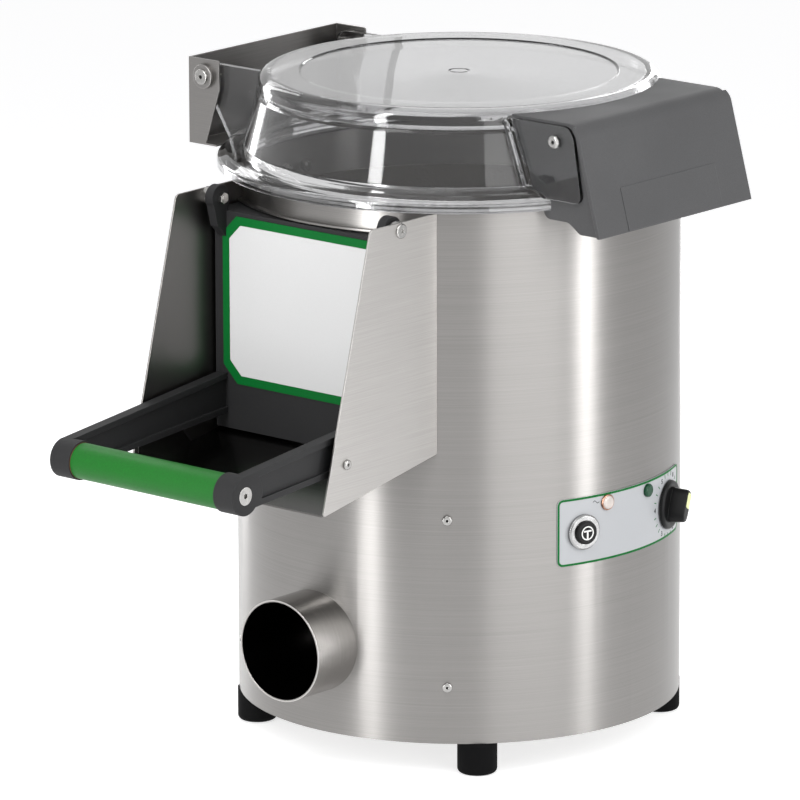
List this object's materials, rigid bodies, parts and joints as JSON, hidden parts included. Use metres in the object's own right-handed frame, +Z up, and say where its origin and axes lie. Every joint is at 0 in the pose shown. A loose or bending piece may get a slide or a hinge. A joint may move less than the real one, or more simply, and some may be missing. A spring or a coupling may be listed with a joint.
{
  "type": "electric potato peeler",
  "caption": "Tabletop drum potato peeler with a clear hinged lid, a tip-up front door with a handle, a drain outlet, a push button and a timer knob.",
  "frame": {"origin": "centre of the overall box, on the plane the feet stand on", "axes": "+Z up, -Y out of the front with the door, chute and drain, +X towards the handle side of the lid, -X towards the lid hinge"},
  "size_m": [0.4476, 0.603, 0.553],
  "materials": {
    "brushed_steel": "stainless sheet with a fine brushed grain",
    "bright_steel": "bright stainless steel",
    "black_rubber": "matte black rubber",
    "clear_plastic": "clear moulded plastic",
    "dark_plastic": "dark grey moulded plastic with a fine texture",
    "green_plastic": "mid green plastic sleeve",
    "label_sheet": "pale printed sheet with a green border, no words",
    "black_plastic": "black moulded plastic",
    "chrome_ring": "bright metal ring",
    "abrasive_grit": "dark abrasive grit bonded to the drum and disc",
    "cast_aluminium": "cast and turned aluminium",
    "belt_rubber": "black ribbed belt rubber",
    "green_lens": "green lamp lens",
    "pointer_plastic": "pale yellow green insert",
    "motor_paint": "grey painted motor housing",
    "magnet_plastic": "black sealed magnet and reed switch cases"
  },
  "bodies": {
    "root": {"body_shell": "brushed_steel", "base_shell": "brushed_steel", "base_plate": "brushed_steel", "body_screws": "bright_steel", "rim_gasket": "black_rubber", "rubber_feet": "black_rubber", "foot_studs": "bright_steel", "drum_floor": "brushed_steel", "drum_lining": "abrasive_grit", "bearing_housing": "cast_aluminium", "housing_bolts": "bright_steel", "shaft_bearings": "bright_steel", "shaft_seal": "black_rubber", "drive_belt": "belt_rubber", "motor_plate": "brushed_steel", "motor_hangers": "bright_steel", "motor_body": "motor_paint", "drain_pipe": "brushed_steel", "chute_sides": "brushed_steel", "chute_floor": "brushed_steel", "door_bushes": "bright_steel", "door_pins": "bright_steel", "lid_hinge_bracket": "brushed_steel", "bracket_standoff": "brushed_steel", "bracket_bolts": "bright_steel", "lid_pivot_screws": "bright_steel", "lid_pivot_washers": "bright_steel", "safety_sensors": "magnet_plastic", "panel_label": "label_sheet", "start_button_bezel": "chrome_ring", "start_switch": "black_plastic", "clear_lamp": "clear_plastic", "green_lamp": "green_lens", "timer_body": "black_plastic", "water_inlet": "bright_steel", "spray_nozzle": "black_plastic", "cable_gland": "black_plastic", "electronics_box": "black_plastic"},
    "lid": {"lid_dome": "clear_plastic", "lid_handle_cover": "dark_plastic", "cover_screws": "bright_steel", "lid_magnet": "magnet_plastic"},
    "door": {"door_panel": "dark_plastic", "door_label": "label_sheet", "handle_arms": "dark_plastic", "grip_core": "bright_steel", "grip_sleeve": "green_plastic", "grip_screws": "bright_steel", "door_magnet": "magnet_plastic"},
    "disc_drive": {"drive_shaft": "bright_steel", "disc_pulley": "cast_aluminium", "shaft_nut": "bright_steel", "peeling_disc": "cast_aluminium", "abrasive_top": "abrasive_grit", "disc_lift_knob": "cast_aluminium"},
    "motor_rotor": {"motor_shaft": "bright_steel", "motor_pulley": "cast_aluminium"},
    "start_button": {"start_button_cap": "black_plastic"},
    "timer_dial": {"timer_knob": "black_plastic", "knob_pointer": "pointer_plastic"}
  },
  "joints": [
    {"name": "lid_hinge", "type": "hinge", "parent": "root", "child": "lid", "pos_m": [-0.20425, 0.0925, 0.536], "axis": [0, -1, 0], "range_deg": [0, 100]},
    {"name": "door_hinge", "type": "hinge", "parent": "root", "child": "door", "pos_m": [-0.00725, -0.1045, 0.4653], "axis": [-1, 0, 0], "range_deg": [0, 95]},
    {"name": "disc_spin", "type": "hinge", "parent": "root", "child": "disc_drive", "pos_m": [-0.00725, 0.0925, 0.259], "axis": [0, 0, 1], "continuous": true},
    {"name": "motor_spin", "type": "hinge", "parent": "root", "child": "motor_rotor", "pos_m": [-0.00725, 0.1965, 0.06], "axis": [0, 0, 1], "continuous": true},
    {"name": "start_press", "type": "slide", "parent": "root", "child": "start_button", "axis": [0.9563, -0.2924, 0], "range_m": [-0.003, 0], "stiffness_N_per_m": 400, "springref_m": 0.001},
    {"name": "timer_turn", "type": "hinge", "parent": "root", "child": "timer_dial", "pos_m": [0.1685, 0.15028, 0.2], "axis": [-0.95, -0.3123, 0], "range_deg": [0, 300]}
  ],
  "couplings": [
    {"joint": "motor_spin", "follows": "disc_spin", "ratio": 3.5}
  ]
}
